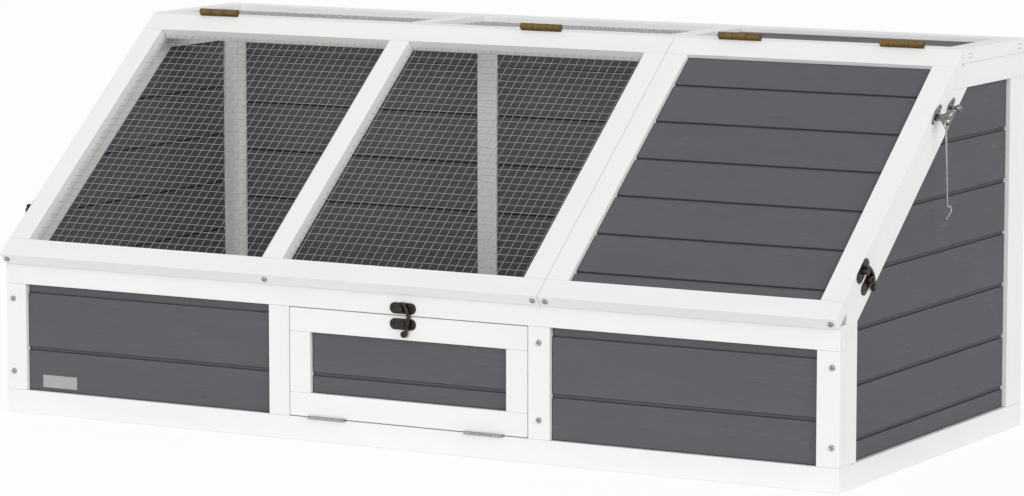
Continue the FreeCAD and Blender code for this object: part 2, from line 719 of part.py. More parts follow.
pin_y = "(latch_pin_rise - latch_step)"
pin_top = "(horn_top + latch_play)"
stud_plate = fuse("stud_plate", stadium("stud_stadium", "0") + [
    peg("latch_stud_peg", "latch_stud_x", "0", "0", "latch_stud_height", "latch_stud")])
pivot_plate = fuse("pivot_plate", stadium("pivot_stadium", "-latch_step") + [
    peg("latch_pivot", "latch_pin_x", pin_y, "0", pin_top, "latch_pin"),
    peg("latch_rivet", "latch_pin_x", pin_y, pin_top, "latch_cap_thick", "latch_cap")])
bow, tip = (flat_bar(f"{size}_section", f"{size} - horn_width / 2", f"{size} + horn_width / 2")
            for size in ("horn_bow", "horn_hook"))
horn = cut("horn", fuse("horn_solid", [
    turned("horn_bow_bar", bow, "bow_x", "bow_y", "bow_start", "horn_bow_angle"),
    turned("horn_tip", tip, "latch_stud_x", "0", "horn_join_angle", "horn_hook_angle"),
    turned("horn_eye_disc", flat_bar("horn_eye_section", "0", "horn_eye / 2"), "latch_pin_x", pin_y),
    turned("horn_thumb_disc", flat_bar("horn_thumb_section", "0", "horn_thumb / 2"),
           "bow_x + horn_bow * cos(bow_start * 1 deg)", "bow_y + horn_bow * sin(bow_start * 1 deg)")]),
    [peg("horn_bore", "latch_pin_x", pin_y, "0", "2 * horn_top", "latch_pin + 2 * pin_play")])
latch = (("latch_stud_plate", stud_plate), ("latch_pivot_plate", pivot_plate), ("latch_arm", horn))
for label, source in latch:
    node("door_" + label, "front",
         [copy(f"door_{label}_copy", source, "door_latch_x", "door_latch_height")])


def on_lid_side(name, source, run, drop):
    """A fitting drawn flat, stood on the right-hand edge of the lid or of the rail below it."""
    link = copy(name, source, "half_length", f"-({run})", f"-({drop})")
    link.Placement.Rotation = SECTION
    return link


for label, source in latch:
    fitting = on_lid_side(label + "_on_lid", source, "lid_run - lid_latch_edge", "lid_thick / 2")
    mirrored("left_" + label, node("right_" + label, "lid", [fitting]))


# Lid stay: a slotted lug on the lid carries a wire hook, and a ball stud on the rail takes its bend
def lozenge(name):
    long, wide = "stay_plate_length / 2", "stay_plate_width / 2"
    return slab(name, [(f"-{long}", f"-{wide} / 3"), ("0", f"-{wide}"), (long, f"-{wide} / 3"),
                       (long, f"{wide} / 3"), ("0", wide), (f"-{long}", f"{wide} / 3")],
                "0", "stay_plate_thick")


stay_stud = fuse("stay_stud", [
    lozenge("stay_stud_plate"), peg("stay_stud_stem", "0", "0", "0", "stud_reach", "stud_neck"),
    ball("stay_stud_knob", "0", "0", "stud_reach", "stud_ball")])
node("stay_ball_stud", "lid", [on_lid_side("stay_ball_stud_on_rail", stay_stud, "stud_run", "stud_drop")])
middle = "-lug_offset"
head_low = "lug_reach - lug_head"
lug_half = "lug_length / 2"
tongue = slab("lug_tongue", [
    (f"{middle} - lug_root / 2", "0"), (f"{middle} + lug_root / 2", "0"),
    (f"{middle} + lug_root / 2", "lug_neck"), (f"{middle} + {lug_half}", head_low),
    (f"{middle} + {lug_half}", "lug_reach"), (f"{middle} - {lug_half}", "lug_reach"),
    (f"{middle} - {lug_half}", head_low), (f"{middle} - lug_root / 2", "lug_neck")],
    "-lug_thick / 2", "lug_thick")
slots = [block(f"lug_slot_{side}", x, "stay_slot_out - lug_slot_width / 2", "lug_slot", "lug_slot_width",
               "-lug_thick", "2 * lug_thick")
         for side, x in (("low", f"{middle} - {lug_half} + lug_bridge"),
                         ("high", f"{middle} + {lug_half} - lug_bridge - lug_slot"))]
lug = copy("lug_turned", cut("lug_slotted", tongue, slots))
lug.Placement.Rotation = FreeCAD.Rotation(FreeCAD.Vector(1, 0, 0), 90)
stay_lug = fuse("stay_lug", [lozenge("stay_lug_plate"), lug])
node("stay_lug_bracket", "lid", [on_lid_side("stay_lug_on_lid", stay_lug, "stay_run", "lid_thick / 2")])


def wire(name, x, y, run, rise):
    """A straight piece of the hook's wire from a point."""
    bar = peg(name, x, y, "0", f"sqrt(({run}) ^ 2 + ({rise}) ^ 2)", "hook_wire")
    bar.Placement.Rotation = FreeCAD.Rotation(FreeCAD.Vector(0, 0, 1),
                                              FreeCAD.Vector(value(run), value(rise), 0))
    return bar


bend_x, bend_y = "(hook_lean + hook_bend_x)", "(-hook_length - hook_bend_drop)"
bend_end = "((hook_bend_start + hook_bend_span) * 1 deg)"
neck_x = f"({bend_x} + hook_bend / 2 * cos{bend_end})"
neck_y = f"({bend_y} + hook_bend / 2 * sin{bend_end})"
tail_x = f"{bend_x} + hook_bend / 2 * cos(hook_bend_start * 1 deg)"
tail_y = f"{bend_y} + hook_bend / 2 * sin(hook_bend_start * 1 deg)"
hook = fuse("hook", [
    ring("hook_eye", "0", "0", "hook_ring", "hook_wire"),
    wire("hook_rod", "hook_lean", "-hook_length", "-hook_lean", "hook_length - hook_ring / 2"),
    ball("hook_corner", "hook_lean", "-hook_length", "0", "hook_wire"),
    wire("hook_neck", neck_x, neck_y, f"hook_lean - {neck_x}", f"-hook_length - {neck_y}"),
    ball("hook_neck_end", neck_x, neck_y, "0", "hook_wire"),
    ring("hook_crook", bend_x, bend_y, "hook_bend", "hook_wire", "hook_bend_start", "hook_bend_span"),
    wire("hook_tail_bar", tail_x, tail_y, "hook_tail * sin(hook_bend_start * 1 deg)",
         "-hook_tail * cos(hook_bend_start * 1 deg)")])
node("stay_hook", "stay_hook", [hook])

# Screws with pan heads, drawn along Z with the head's underside at zero
screw = fuse("screw", [
    peg("screw_pan", "0", "0", "0", "screw_head_height", "screw_head"),
    peg("screw_body", "0", "0", "-screw_length", "screw_length", "screw_shank")])
front_places = [(x, y) for x in ("-half_length + screw_edge", "door_right + bar_width / 2",
                                 "half_length - screw_edge") for y in ("screw_low", "screw_high")]
node("front_screws", "front", [copy(f"front_screw_{index}", screw, x, y)
                               for index, (x, y) in enumerate(front_places)])


def lid_screws(label, places):
    screws = [copy(f"{label}_{index}", screw, x, "-lid_run", "-lid_thick / 2")
              for index, x in enumerate(places)]
    for one in screws:
        one.Placement.Rotation = FreeCAD.Rotation(FreeCAD.Vector(1, 0, 0), 90)
    node(label, "lid", screws)


lid_screws("mesh_lid_screws", ("-half_length + lid_screw_edge", f"{cross_x} + bar_width / 2",
                               f"{mesh_right} - lid_screw_edge"))
lid_screws("shelter_lid_screws", (f"{shelter_left} + lid_screw_edge", "half_length - lid_screw_edge"))


def check(part):
    """Stop if a sub-part has no sound solid."""
    if part.Shape.isNull() or not part.Shape.isValid() or not part.Shape.Solids:
        raise RuntimeError(f"{part.Label} has no valid solid")


doc.recompute()
for item in doc.Objects:
    if "Invalid" in item.State or "Error" in item.State:
        raise RuntimeError(f"{item.Label} failed: {item.State}")
os.makedirs("parts", exist_ok=True)
for part in nodes:
    check(part)
for part in nodes:
    part.Shape.exportStep(os.path.join("parts", part.Label + ".step"))
print(len(nodes), "sub-parts,", sum(len(part.Shape.Solids) for part in nodes), "solids")
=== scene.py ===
"""Looks of an outdoor tortoise enclosure: white frames, grey boards, wire mesh and plated fittings."""
import json
import math

import bmesh
import bpy
from mathutils import Matrix, Vector

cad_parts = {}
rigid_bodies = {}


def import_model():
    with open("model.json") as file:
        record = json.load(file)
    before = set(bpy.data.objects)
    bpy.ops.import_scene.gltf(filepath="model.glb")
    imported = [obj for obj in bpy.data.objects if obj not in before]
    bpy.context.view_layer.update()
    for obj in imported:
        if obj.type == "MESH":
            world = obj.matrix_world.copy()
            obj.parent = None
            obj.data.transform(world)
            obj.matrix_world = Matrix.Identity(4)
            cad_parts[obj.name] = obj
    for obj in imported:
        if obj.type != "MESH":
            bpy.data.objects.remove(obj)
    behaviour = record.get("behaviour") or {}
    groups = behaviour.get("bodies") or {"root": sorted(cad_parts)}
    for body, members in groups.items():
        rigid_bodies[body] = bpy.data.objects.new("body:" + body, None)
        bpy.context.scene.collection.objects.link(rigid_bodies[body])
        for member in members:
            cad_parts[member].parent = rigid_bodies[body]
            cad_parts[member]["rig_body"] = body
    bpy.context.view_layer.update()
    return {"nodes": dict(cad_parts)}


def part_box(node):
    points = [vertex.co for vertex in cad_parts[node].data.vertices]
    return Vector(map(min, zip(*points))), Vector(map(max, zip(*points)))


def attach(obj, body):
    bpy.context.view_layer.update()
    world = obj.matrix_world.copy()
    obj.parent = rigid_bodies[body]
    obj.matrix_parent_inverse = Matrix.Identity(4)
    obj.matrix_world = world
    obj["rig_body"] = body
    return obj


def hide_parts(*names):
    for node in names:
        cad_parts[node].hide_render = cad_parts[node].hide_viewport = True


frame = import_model()

# White frames: planed softwood bars, glued and screwed at their ends, sprayed with satin paint.
# The plane leaves eased edges, so each joint between two bars shows as a fine line that painted
# shade darkens further, and the grain still stands faintly under the paint along each bar.

frame_ease, joint_shade_reach, shade_samples = 0.0005, 0.0011, 6
flat_angle, corner_angle, sharp_angle = math.radians(1), math.radians(20), math.radians(50)
weld_reach, shortest_in_eases = 1e-6, 8
grain_step = Vector((0.37, 0.23, 0.31))
mesh_lid_end = max(vertex.co.x for vertex in frame["nodes"]["mesh_lid_rails"].data.vertices)
shelter_lid_end = min(vertex.co.x for vertex in frame["nodes"]["shelter_lid_rails"].data.vertices)
lid_meeting = (mesh_lid_end + shelter_lid_end) / 2
lid_gap, seen_gap = shelter_lid_end - mesh_lid_end, 0.0003


class Layer:
    """One socket of a finish, for use in Python expressions."""

    def __init__(self, socket):
        self.socket = socket

    def make(self, kind, settings, inputs, output=0):
        """Add a node: its settings first, then the values or links of its sockets."""
        tree = self.socket.id_data
        node = tree.nodes.new("ShaderNode" + kind)
        for name, setting in settings.items():
            setattr(node, name, setting)
        for name, value in inputs.items():
            if isinstance(value, Layer):
                tree.links.new(value.socket, node.inputs[name])
            else:
                node.inputs[name].default_value = value
        return Layer(node.outputs[output])

    def worked(self, operation, first, second):
        """A sum, difference or product of two values or two vectors."""
        kind = "VectorMath" if self.socket.type == "VECTOR" else "Math"
        return self.make(kind, {"operation": operation}, {0: first, 1: second})

    def __add__(self, other):
        return self.worked("ADD", self, other)

    def __radd__(self, other):
        return self.worked("ADD", other, self)

    def __sub__(self, other):
        return self.worked("SUBTRACT", self, other)

    def __rsub__(self, other):
        return self.worked("SUBTRACT", other, self)

    def __mul__(self, other):
        return self.worked("MULTIPLY", self, other)

    def __rmul__(self, other):
        return self.worked("MULTIPLY", other, self)

    def between(self, low, high):
        """Zero below one value and one above the other, with a soft step."""
        return self.make("MapRange", {"interpolation_type": "SMOOTHSTEP"},
                         {"Value": self, "From Min": low, "From Max": high})

    def tint(self, first, second):
        """From one colour to another as this value goes from zero to one."""
        factor_in, first_in, second_in, colour_out = 0, 6, 7, 2
        first, second = [item if isinstance(item, Layer) else (*item, 1) for item in (first, second)]
        return self.make("Mix", {"data_type": "RGBA"},
                         {factor_in: self, first_in: first, second_in: second}, colour_out)

    def noise(self, scale, detail=2, roughness=0.5):
        """Cloudy variation at the places that this vector gives."""
        return self.make("TexNoise", {}, {"Vector": self, "Scale": scale, "Detail": detail,
                                          "Roughness": roughness})

    def bump(self, strength, distance):
        """The normal of a surface that rises and falls with this value."""
        return self.make("Bump", {}, {"Height": self, "Strength": strength, "Distance": distance})


def finish(name):
    """A bare material, its shader and a first layer from which its nodes are made."""
    material = bpy.data.materials.new(name)
    material.use_nodes = True
    shader = material.node_tree.nodes["Principled BSDF"]
    return material, shader, Layer(shader.outputs[0])


def put(shader, **sockets):
    """Set or link the shader's sockets; an underscore stands for a space in their names."""
    for name, value in sockets.items():
        socket = shader.inputs[name.replace("_", " ")]
        if isinstance(value, Layer):
            shader.id_data.links.new(value.socket, socket)
        else:
            socket.default_value = value


def along_grain(start):
    """Metres along each timber and across it, kept with its mesh."""
    return start.make("Attribute", {"attribute_name": "grain"}, {}, "Vector")


def painted_shade_mask(start, reach):
    """How deep a place lies in a crease, as a mask for painted shade: zero in the open, towards one in
    a narrow gap.
    """
    return 1 - start.make("AmbientOcclusion", {"samples": shade_samples}, {"Distance": reach}, "AO")


white_paint, shader, start = finish("white_paint")
grain = along_grain(start)
fibre = (grain * (3, 420, 420)).noise(1, 4, 0.6)
wave = (grain * (1.6, 36, 36)).noise(1, 2)
cloud = grain.noise(9, 2)
uneven = (wave * 0.6 + cloud * 0.4).between(0.3, 0.7)
clean = uneven.tint((0.842, 0.842, 0.838), (0.868, 0.868, 0.866))
put(shader,
    # Joints and creases are darkened to grey with painted shade.
    Base_Color=painted_shade_mask(start, joint_shade_reach).between(0.22, 0.65).tint(clean, (0.30, 0.30, 0.30)),
    Roughness=cloud * 0.1 + 0.38,
    Normal=(fibre * 0.4 + wave).bump(0.22, 0.0006))


def merge_flats(mesh):
    """Make each flat side of a mesh one face."""
    bmesh.ops.dissolve_limit(mesh, angle_limit=flat_angle, verts=mesh.verts, edges=mesh.edges)
    mesh.normal_update()


def plain_copy(node_name):
    """The welded mesh of a CAD node, with whole flat faces."""
    mesh = bmesh.new()
    mesh.from_mesh(frame["nodes"][node_name].data)
    bmesh.ops.remove_doubles(mesh, verts=mesh.verts, dist=weld_reach)
    merge_flats(mesh)
    return mesh


def islands(mesh):
    """The separate solids of a mesh, as lists of vertices."""
    waiting = set(mesh.verts)
    for first in mesh.verts:
        if first not in waiting:
            continue
        waiting.remove(first)
        solid, queue = [], [first]
        while queue:
            vertex = queue.pop()
            solid.append(vertex)
            for edge in vertex.link_edges:
                other = edge.other_vert(vertex)
                if other in waiting:
                    waiting.remove(other)
                    queue.append(other)
        yield solid


def closed_bars(node_name):
    """A node's straight bars with their grooves closed, as the boards and wires fill them.

    Bars that touch are parted first, which leaves the face between them loose, and it is passed over.
    """
    mesh, plain = bmesh.new(), plain_copy(node_name)
    shared = [edge for edge in plain.edges if len(edge.link_faces) > 2]
    bmesh.ops.split_edges(plain, edges=shared)
    for solid in islands(plain):
        if all(len(vertex.link_faces) == 1 for vertex in solid):
            continue
        hull = bmesh.ops.convex_hull(mesh, input=[mesh.verts.new(vertex.co) for vertex in solid])
        bmesh.ops.delete(mesh, geom=hull["geom_interior"], context="VERTS")
    plain.free()
    merge_flats(mesh)
    return mesh


def draw_together(mesh):
    """Bring a lid's meeting side nearer to the other lid, so that the gap shows as a fine line."""
    for vertex in mesh.verts:
        if abs(vertex.co.x - lid_meeting) < lid_gap:
            vertex.co.x = lid_meeting + (vertex.co.x - lid_meeting) * seen_gap / lid_gap


def piece(name, mesh, material, node_name=None, body=None):
    """Turn mesh code into an object that rides with its body and stands for a CAD node."""
    data = bpy.data.meshes.new(name)
    mesh.to_mesh(data)
    mesh.free()
    data.materials.append(material)
    data.polygons.foreach_set("use_smooth", [True] * len(data.polygons))
    made = bpy.data.objects.new(name, data)
    bpy.context.scene.collection.objects.link(made)
    made.modifiers.new("even_light", "WEIGHTED_NORMAL").keep_sharp = True
    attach(made, body or frame["nodes"][node_name]["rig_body"])
    if node_name:
        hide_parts(node_name)


def run_of(edges):
    """The way that a timber runs, along its longest edge: towards the right, the back or the top."""
    longest = max(edges, key=lambda edge: edge.calc_length())
    run = (longest.verts[1].co - longest.verts[0].co).normalized()
    return run if max(run, key=abs) > 0 else -run


def planed(node_name, ease, material, closed=False):
    """A timber with eased edges that stands for a plain one, with its grain along each length."""
    mesh = closed_bars(node_name) if closed else plain_copy(node_name)
    if "_lid_" in node_name:
        draw_together(mesh)
    grain_layer = mesh.verts.layers.float_vector.new("grain")
    eased = []
    solids = sorted(islands(mesh), key=lambda found: min(tuple(vertex.co) for vertex in found))
    for count, solid in enumerate(solids):
        edges = list(dict.fromkeys(edge for vertex in solid for edge in vertex.link_edges))
        run = run_of(edges)
        side = run.orthogonal().normalized()
        turn = Matrix((run, side, run.cross(side)))
        shift = grain_step * (count + 1 + len(node_name))
        for vertex in solid:
            vertex[grain_layer] = turn @ vertex.co + shift
        for edge in edges:
            outer = len(edge.link_faces) == 2 and edge.is_convex
            long_enough = edge.calc_length() > shortest_in_eases * ease
            if outer and long_enough and edge.calc_face_angle() > corner_angle:
                eased.append(edge)
    bmesh.ops.bevel(mesh, geom=eased, offset=ease, offset_type="OFFSET", segments=2, profile=0.5,
                    affect="EDGES", clamp_overlap=True)
    bmesh.ops.dissolve_degenerate(mesh, dist=weld_reach, edges=mesh.edges)
    for edge in mesh.edges:
        edge.smooth = len(edge.link_faces) == 2 and edge.calc_face_angle() < sharp_angle
    piece(node_name + "_planed", mesh, material, node_name)


for label in ("front_base_rail", "front_top_rail", "front_left_post", "front_right_post",
              "door_left_post", "door_right_post", "left_side_rails", "left_side_stiles",
              "left_sloped_rail", "right_side_rails", "right_side_stiles", "right_sloped_rail",
              "back_base_rail", "back_top_rail", "back_posts", "roof_rails", "roof_end_rails",
              "roof_cross_bars", "partition_rails", "partition_stiles", "mesh_lid_rails",
              "mesh_lid_stiles", "shelter_lid_rails", "shelter_lid_stiles", "door_rails",
              "door_stiles"):
    planed(label, frame_ease, white_paint, closed=True)

# Grey boards: tongued softwood boards that sit loose in the frames' grooves, painted grey before
# they go in. A brushed grain shows as short pale and dark streaks along each board, and painted
# shade darkens the creases between the boards and along the frames.

board_ease, crease_shade_reach = 0.0004, 0.003

grey_paint, shader, start = finish("grey_boards")
grain = along_grain(start)
streak = (grain * (42, 560, 560)).noise(1, 3, 0.55)
patch = (grain * (9, 30, 30)).noise(1, 2)
fibre = (grain * (60, 1400, 1400)).noise(1, 3, 0.6)
raised = streak.between(0.54, 0.68) * patch.between(0.44, 0.60)
sunk = (1 - streak).between(0.56, 0.74) * (1 - patch).between(0.4, 0.6)
cloud = (grain * (3, 18, 18)).noise(1, 2)
body_colour = cloud.between(0.3, 0.7).tint((0.112, 0.115, 0.123), (0.116, 0.119, 0.127))
streaked = sunk.tint(raised.tint(body_colour, (0.131, 0.135, 0.144)), (0.096, 0.099, 0.106))
put(shader,
    # The near-black in the creases is painted shade.
    Base_Color=painted_shade_mask(start, crease_shade_reach).between(0.10, 0.60).tint(streaked, (0.022, 0.022, 0.025)),
    Specular_IOR_Level=0.04,
    Roughness=0.52 - raised * 0.10 + fibre * 0.08,
    Normal=(raised * 0.7 - sunk * 0.7 + fibre * 0.35).bump(0.25, 0.0005))
for label in ("front_left_boards", "front_right_boards", "left_side_boards", "right_side_boards",
              "back_boards", "roof_boards", "partition_boards", "shelter_lid_boards", "door_boards"):
    planed(label, board_ease, grey_paint)

# Floor panel: one plywood sheet that lies on the ground inside the base rails. It is cut square,
# sanded at its edges and left bare, so its figure shows.

plywood, shader, start = finish("floor_plywood")
grain = along_grain(start)
figure = (grain * (1.2, 26, 26)).noise(1, 4, 0.6)
pore = (grain * (30, 900, 900)).noise(1, 2)
put(shader,
    Base_Color=(figure * 0.8 + pore * 0.2).between(0.3, 0.7).tint((0.42, 0.33, 0.23),
                                                                  (0.58, 0.49, 0.37)),
    Roughness=0.62 + pore * 0.1,
    Normal=(figure * 0.5 + pore).bump(0.25, 0.0005))
planed("floor_panel", frame_ease, plywood)

# Wire mesh: welded galvanised wire in square holes of about half an inch, cut to each bay and held
# in a slot of its frame. The wires that run one way lie on those that run the other way.

wire_share, wire_sides = 0.9, 6

galvanised, shader, start = finish("wire_mesh")
spot = start.make("TexCoord", {}, {}, "Object")
spangle = spot.noise(420, 2)
put(shader,
    Base_Color=spangle.between(0.35, 0.65).tint((0.33, 0.335, 0.34), (0.46, 0.465, 0.47)),
    Metallic=0.55,
    Roughness=0.42 + spangle * 0.16,
    Normal=spot.noise(1500, 2).bump(0.2, 0.0002))


def strand(mesh, start_point, end_point, radius, sides):
    """A round wire from one point to another."""
    run = (end_point - start_point).normalized()
    side = run.orthogonal().normalized() * radius
    rings = []
    for point in (start_point, end_point):
        rings.append([mesh.verts.new(point + Matrix.Rotation(math.tau * turn / sides, 3, run) @ side)
                      for turn in range(sides)])
    for turn in range(sides):
        mesh.faces.new((rings[0][turn], rings[0][turn - 1], rings[1][turn - 1], rings[1][turn]))
    mesh.faces.new(rings[0])
    mesh.faces.new(reversed(rings[1]))


def drawn_wires(name, node_name):
    """Round wires along the middles of a node's square ones."""
    mesh, plain = bmesh.new(), plain_copy(node_name)
    for solid in islands(plain):
        edges = sorted(solid[0].link_edges, key=lambda edge: edge.calc_length())
        middle = sum((vertex.co for vertex in solid), Vector()) / len(solid)
        reach = (edges[-1].verts[1].co - edges[-1].verts[0].co) / 2
        radius = wire_share * edges[0].calc_length() / 2
        strand(mesh, middle - reach, middle + reach, radius, wire_sides)
    plain.free()
    bmesh.ops.recalc_face_normals(mesh, faces=mesh.faces)
    piece(name, mesh, galvanised, node_name)


drawn_wires("lid_wires", "mesh_lid_mesh")
drawn_wires("roof_wires", "roof_mesh")

# Hinges: knuckled butt hinges, rolled from strip round a pin. The lids' are plated antique brass,
# and the door's are plated with bright zinc.

corner_shade_reach, corner_shade_share = 0.004, 0.3


def metal(name, dark, light, metallic, roughness, scale, edge, edge_width):
    """Plated metal with a fine, uneven film, painted shade in its corners and painted light on its
    edges.
    """
    material, shader, start = finish(name)
    spot = start.make("TexCoord", {}, {}, "Object")
    film = spot.noise(scale, 3)
    scratch = (spot * (220, 2600, 2600)).noise(1, 2)
    eased = start.make("Bevel", {"samples": shade_samples}, {"Radius": edge_width})
    flat = start.make("NewGeometry", {}, {}, "Normal")
    rim = 1 - flat.make("VectorMath", {"operation": "DOT_PRODUCT"}, {0: flat, 1: eased}, "Value")
    # The rim colour is painted light on rounded edges: a painted highlight on zinc, painted shade on
    # brass and bronze.
    film_with_painted_rims = rim.between(0.003, 0.10).tint(film.between(0.3, 0.7).tint(dark, light), edge)
    put(shader,
        # Corners and recesses are darkened with painted shade.
        Base_Color=painted_shade_mask(start, corner_shade_reach).between(0.15, 0.7).tint(
            film_with_painted_rims, [corner_shade_share * part for part in dark]),
        Metallic=metallic,
        Roughness=roughness + scratch * 0.12,
        Normal=(film * 0.5 + scratch * 0.5).bump(0.15, 0.0002))
    return material


antique_brass = metal("hinge_brass", (0.115, 0.075, 0.022), (0.175, 0.118, 0.036), 0.7, 0.38, 160,
                      (0.07, 0.045, 0.014), 0.0009)
bright_zinc = metal("zinc", (0.30, 0.30, 0.305), (0.41, 0.41, 0.415), 1.0, 0.27, 260,
                    (0.55, 0.55, 0.555), 0.0007)


def plate(material, labels):
    """Give a carried-over CAD fitting its plated finish."""
    for label in labels:
        for place in frame["nodes"][label].material_slots:
            place.material = material


plate(antique_brass, ("lid_hinge_roof_leaves", "lid_hinge_pins",
                                     "mesh_lid_hinge_leaves", "shelter_lid_hinge_leaves"))
plate(bright_zinc, ("door_hinge_leaves", "door_hinge_pins", "sill_hinge_leaves"))

# Horn latches: cast in zinc and finished in dark bronze, with a horn that swings on its plate and
# hooks over the stud of the other plate.

dark_bronze = metal("latch_bronze", (0.023, 0.018, 0.014), (0.050, 0.039, 0.031), 0.6, 0.32, 220,
                    (0.008, 0.007, 0.006), 0.0018)
plate(dark_bronze, [f"{side}_latch_{part}" for side in ("door", "left", "right")
                                    for part in ("arm", "pivot_plate", "stud_plate")])

# Lid stay: a slotted lug on the shelter lid with a hanging wire hook, and a ball stud on the rail.
# All three are zinc plated steel: the hook is bright wire, and the pressed plates carry a darker
# colour as painted reflection.

# A darker zinc as painted reflection, with a painted highlight on its rims.
zinc_with_painted_reflection = metal("stay_zinc", (0.13, 0.13, 0.133), (0.25, 0.25, 0.254), 1.0, 0.24, 260,
                     (0.50, 0.50, 0.505), 0.0006)
plate(zinc_with_painted_reflection, ("stay_ball_stud", "stay_lug_bracket"))
plate(bright_zinc, ["stay_hook"])

# Screws: steel with a cross recess, driven by hand so that each one stops at its own angle. Zinc
# plated pan heads hold the front posts, the lids' corners and the stay's plates, and bronzed heads
# sunk level hold the latch plates.

head_sides, rim_steps = 28, 4
head_share, under_share, rim_share, rim_most = 0.8, 0.9, 0.3, 0.9
cross_reach, cross_half, cross_taper, cross_depth = 0.48, 0.11, 0.7, 0.5
head_turn, plate_first_turn, plate_turn = 1.1, 0.4, 1.3
level_reach, plate_reach = 1e-5, 1e-4
stay_head, stay_proud = 0.0023, 0.0012
latch_head, latch_proud, latch_places = 0.0028, 0.0002, (-0.0127, 0.0127)
lug_places, stud_places = (-0.0126, 0.009), (-0.0095, 0.0095)


def circle(mesh, turn, middle, radius, height):
    """A ring of points round an axis, in the turned frame."""
    spoke = Vector((radius, 0, height))
    turns = [Matrix.Rotation(math.tau * step / head_sides, 3, "Z") for step in range(head_sides)]
    return [mesh.verts.new(turn @ (middle + spin @ spoke)) for spin in turns]


def band(mesh, first, second):
    """Join two rings of as many points."""
    for step in range(len(first)):
        mesh.faces.new((first[step - 1], first[step], second[step], second[step - 1]))


def pan_head(mesh, turn, middle, radius, height, spin):
    """A round head with a cross in it; middle is the middle of its top, in the turned frame."""
    rim = min(rim_share * radius, rim_most * height)
    rings = [circle(mesh, turn, middle, radius, -height)]
    for step in range(rim_steps + 1):
        lean = math.pi / 2 * step / rim_steps
        rings.append(circle(mesh, turn, middle, radius - rim_share * radius * (1 - math.cos(lean)),
                            -rim * (1 - math.sin(lean))))
    mesh.faces.new(rings[0])
    for first, second in zip(rings, rings[1:]):
        band(mesh, first, second)
    arm = ((cross_half, cross_reach), (-cross_half, cross_reach), (-cross_half, cross_half))
    star = [Matrix.Rotation(math.pi / 2 * side + spin, 2) @ (Vector(corner) * radius)
            for side in range(4) for corner in arm]
    mouth = [mesh.verts.new(turn @ (middle + Vector((*corner, 0)))) for corner in star]
    foot = [mesh.verts.new(turn @ (middle + Vector((*(cross_taper * corner), -cross_depth * height))))
            for corner in star]
    band(mesh, mouth, foot)
    mesh.faces.new(foot)
    pairs = [(loop[step - 1], loop[step]) for loop in (rings[-1], mouth) for step in range(len(loop))]
    edges = [mesh.edges.get(pair) or mesh.edges.new(pair) for pair in pairs]
    bmesh.ops.triangle_fill(mesh, edges=edges, use_beauty=True)


def screw_heads(name, node_name, outward):
    """Pan heads that stand for a node's plain screws."""
    mesh, plain = bmesh.new(), plain_copy(node_name)
    turn = outward.to_track_quat("Z", "Y").to_matrix()
    for count, solid in enumerate(islands(plain)):
        points = [turn.transposed() @ vertex.co for vertex in solid]
        top = max(point.z for point in points)
        crown = [point for point in points if point.z > top - level_reach]
        middle = sum(crown, Vector()) / len(crown)
        radius = max((point - middle).length for point in crown)
        outer = [point for point in points if (point - middle).xy.length > under_share * radius]
        under = min(point.z for point in outer)
        pan_head(mesh, turn, middle, head_share * radius, top - under, head_turn * count)
    plain.free()
    bmesh.ops.recalc_face_normals(mesh, faces=mesh.faces)
    piece(name, mesh, bright_zinc, node_name)


def plate_screws(node_name, along, outward, places, radius, height, material):
    """Heads on a fitting's plate, at places along it from its middle."""
    points = [vertex.co for vertex in frame["nodes"][node_name].data.vertices]
    wall = min(point.dot(outward) for point in points)
    face = min(point.dot(outward) for point in points if point.dot(outward) > wall + plate_reach)
    back = [point for point in points if point.dot(outward) < wall + level_reach]
    across = outward.cross(along)
    middle = outward * (face + height)
    for axis in (along, across):
        middle = middle + axis * (max(map(axis.dot, back)) + min(map(axis.dot, back))) / 2
    mesh = bmesh.new()
    turn = outward.to_track_quat("Z", "Y").to_matrix()
    for count, place in enumerate(places):
        seat = turn.transposed() @ (middle + along * place)
        pan_head(mesh, turn, seat, radius, height, plate_first_turn + plate_turn * count)
    bmesh.ops.recalc_face_normals(mesh, faces=mesh.faces)
    piece(node_name + "_screws", mesh, material, body=frame["nodes"][node_name]["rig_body"])


stiles = plain_copy("mesh_lid_stiles")
down_the_lid = -run_of(stiles.edges)
stiles.free()
rightward, forward = Vector((1, 0, 0)), Vector((0, -1, 0))
screw_heads("front_screw_heads", "front_screws", forward)
screw_heads("mesh_lid_screw_heads", "mesh_lid_screws", down_the_lid)
screw_heads("shelter_lid_screw_heads", "shelter_lid_screws", down_the_lid)
for label, places in (("stay_lug_bracket", lug_places), ("stay_ball_stud", stud_places)):
    plate_screws(label, -down_the_lid, rightward, places, stay_head, stay_proud, bright_zinc)
for side, along, outward in (("door", rightward, forward), ("left", -down_the_lid, -rightward),
                             ("right", -down_the_lid, rightward)):
    for part in ("stud", "pivot"):
        plate_screws(f"{side}_latch_{part}_plate", along, outward, latch_places, latch_head,
                     latch_proud, dark_bronze)

# Bare plate: thin brushed aluminium with rounded corners, stamped from sheet. It is glued to the
# lower board of the left bay, near the board's corner.

plate_size, plate_thick = Vector((0.0535, 0.0165)), 0.0006
plate_inset = Vector((0.0300, 0.0131))
corner_round, rim_ease = 0.0008, 0.0002

brushed, shader, start = finish("plate_aluminium")
spot = start.make("TexCoord", {}, {}, "Object")
brush = (spot * (60, 2400, 2400)).noise(1, 3)
put(shader,
    Base_Color=brush.between(0.3, 0.7).tint((0.35, 0.35, 0.355), (0.44, 0.44, 0.445)),
    Metallic=0.7,
    Roughness=0.34 + brush * 0.16,
    Normal=brush.bump(0.2, 0.0002))

